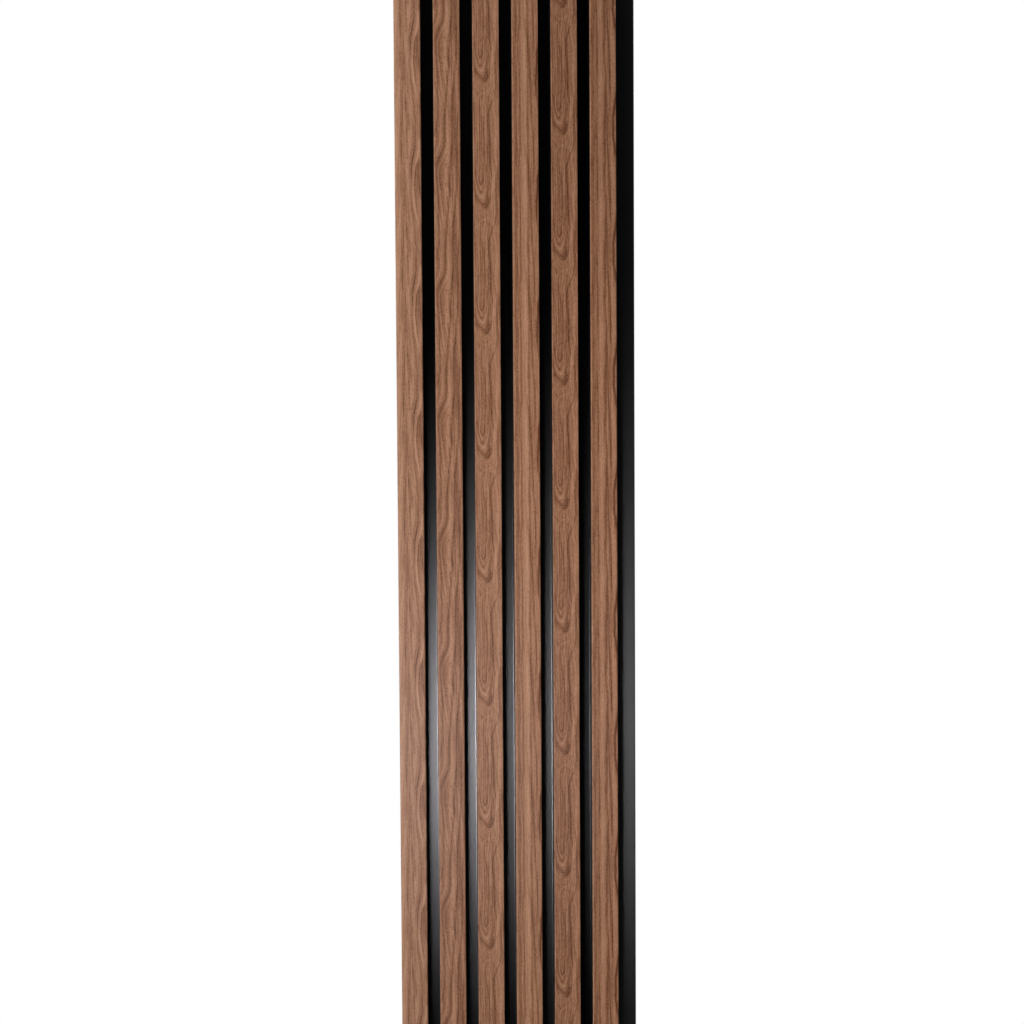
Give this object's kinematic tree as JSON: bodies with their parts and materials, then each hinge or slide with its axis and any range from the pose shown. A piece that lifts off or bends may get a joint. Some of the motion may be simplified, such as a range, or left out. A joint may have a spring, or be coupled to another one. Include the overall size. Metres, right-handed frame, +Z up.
{
  "type": "slat wall panel",
  "caption": "Flat wall panel with raised wood-faced slats, narrow black grooves between them, and a lap joint along both long edges.",
  "frame": {"origin": "middle of the back face, half way up the panel, in the plane of the wall", "axes": "+Z up along the slats, +X to the right as seen from the room, +Y into the wall, so the slats face -Y"},
  "size_m": [0.122, 0.012, 2.65],
  "materials": {
    "black_plastic": "satin black extruded polystyrene foam with a closed skin",
    "walnut_film": "matt decor film printed as walnut"
  },
  "bodies": {
    "root": {"panel_profile": "black_plastic", "slat_film_1": "walnut_film", "slat_film_2": "walnut_film", "slat_film_3": "walnut_film", "slat_film_4": "walnut_film", "slat_film_5": "walnut_film", "slat_film_6": "walnut_film"}
  },
  "joints": []
}
